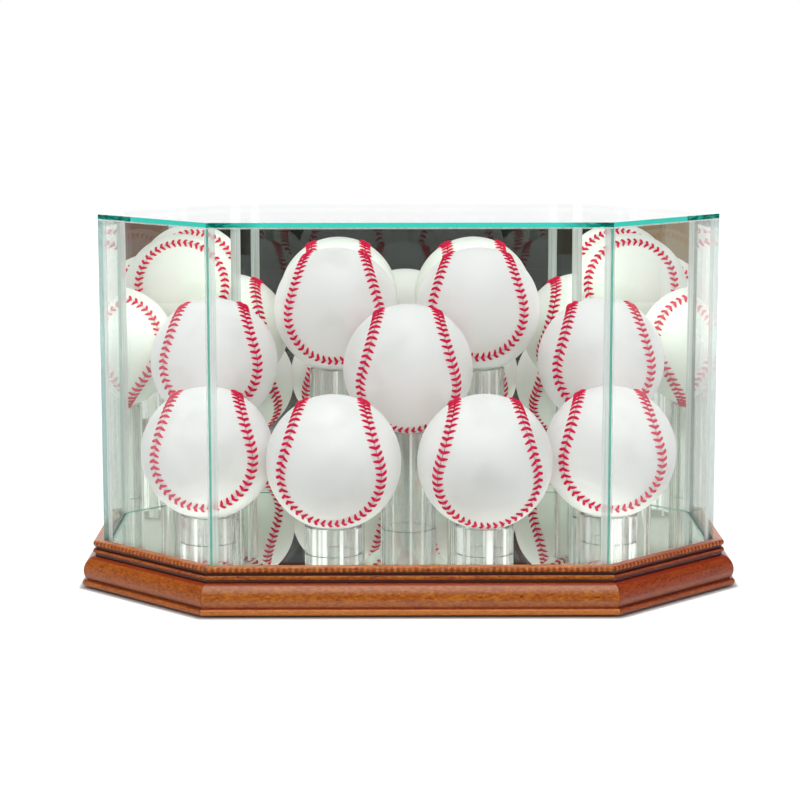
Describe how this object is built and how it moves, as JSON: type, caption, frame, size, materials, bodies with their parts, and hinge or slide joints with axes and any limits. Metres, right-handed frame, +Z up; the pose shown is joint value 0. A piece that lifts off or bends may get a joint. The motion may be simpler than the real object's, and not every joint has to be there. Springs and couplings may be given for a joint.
{
  "type": "baseball display case",
  "caption": "Octagonal glass display case with a lift-off cover, mirrored back and floor, and clear tiered ball stands on a moulded wood base.",
  "frame": {"origin": "on the table, under the middle of the case", "axes": "+Z up, front towards -Y, +X to the right when seen from the front"},
  "size_m": [0.3628, 0.2382, 0.2071],
  "materials": {
    "stained_wood": "honey walnut stain under satin lacquer, darker in the grooves",
    "glass": "clear float glass with turquoise cut edges",
    "mirror": "silvered float glass with a grey painted back",
    "clear_acrylic": "clear polished acrylic tube",
    "leather": "smooth white full-grain cowhide",
    "red_thread": "waxed red cotton thread",
    "board": "plain fibreboard",
    "steel": "bare spring steel",
    "felt": "black adhesive felt",
    "clear_adhesive": "clear silicone"
  },
  "bodies": {
    "base": {"bottom_board": "board", "corner_v_nails": "steel", "floor_mirror": "mirror", "foot_pads": "felt", "rail_back": "stained_wood", "rail_front": "stained_wood", "rail_front_left": "stained_wood", "rail_front_right": "stained_wood", "rail_left": "stained_wood", "rail_rear_left": "stained_wood", "rail_rear_right": "stained_wood", "rail_right": "stained_wood", "stand_back_1": "clear_acrylic", "stand_back_2": "clear_acrylic", "stand_front_1": "clear_acrylic", "stand_front_2": "clear_acrylic", "stand_front_3": "clear_acrylic", "stand_front_4": "clear_acrylic", "stand_middle_1": "clear_acrylic", "stand_middle_2": "clear_acrylic", "stand_middle_3": "clear_acrylic"},
    "cover": {"corner_adhesive": "clear_adhesive", "mirror_back": "mirror", "mirror_rear_left": "mirror", "mirror_rear_right": "mirror", "pane_front": "glass", "pane_front_left": "glass", "pane_front_right": "glass", "pane_left": "glass", "pane_right": "glass", "top_adhesive": "clear_adhesive", "top_pane": "glass"},
    "ball_front_1": {"ball_front_1": "leather", "seam_front_1": "red_thread"},
    "ball_front_2": {"ball_front_2": "leather", "seam_front_2": "red_thread"},
    "ball_front_3": {"ball_front_3": "leather", "seam_front_3": "red_thread"},
    "ball_front_4": {"ball_front_4": "leather", "seam_front_4": "red_thread"},
    "ball_middle_1": {"ball_middle_1": "leather", "seam_middle_1": "red_thread"},
    "ball_middle_2": {"ball_middle_2": "leather", "seam_middle_2": "red_thread"},
    "ball_middle_3": {"ball_middle_3": "leather", "seam_middle_3": "red_thread"},
    "ball_back_1": {"ball_back_1": "leather", "seam_back_1": "red_thread"},
    "ball_back_2": {"ball_back_2": "leather", "seam_back_2": "red_thread"}
  },
  "joints": [
    {"name": "cover_lift", "type": "slide", "parent": "base", "child": "cover", "axis": [0, 0, 1], "range_m": [0, 0.2]},
    {"name": "ball_front_1_lift", "type": "slide", "parent": "base", "child": "ball_front_1", "axis": [0, 0, 1], "range_m": [0, 0.008]},
    {"name": "ball_front_2_lift", "type": "slide", "parent": "base", "child": "ball_front_2", "axis": [0, 0, 1], "range_m": [0, 0.09]},
    {"name": "ball_front_3_lift", "type": "slide", "parent": "base", "child": "ball_front_3", "axis": [0, 0, 1], "range_m": [0, 0.09]},
    {"name": "ball_front_4_lift", "type": "slide", "parent": "base", "child": "ball_front_4", "axis": [0, 0, 1], "range_m": [0, 0.008]},
    {"name": "ball_middle_1_lift", "type": "slide", "parent": "base", "child": "ball_middle_1", "axis": [0, 0, 1], "range_m": [0, 0.048]},
    {"name": "ball_middle_2_lift", "type": "slide", "parent": "base", "child": "ball_middle_2", "axis": [0, 0, 1], "range_m": [0, 0.048]},
    {"name": "ball_middle_3_lift", "type": "slide", "parent": "base", "child": "ball_middle_3", "axis": [0, 0, 1], "range_m": [0, 0.048]},
    {"name": "ball_back_1_lift", "type": "slide", "parent": "base", "child": "ball_back_1", "axis": [0, 0, 1], "range_m": [0, 0.022]},
    {"name": "ball_back_2_lift", "type": "slide", "parent": "base", "child": "ball_back_2", "axis": [0, 0, 1], "range_m": [0, 0.022]}
  ]
}
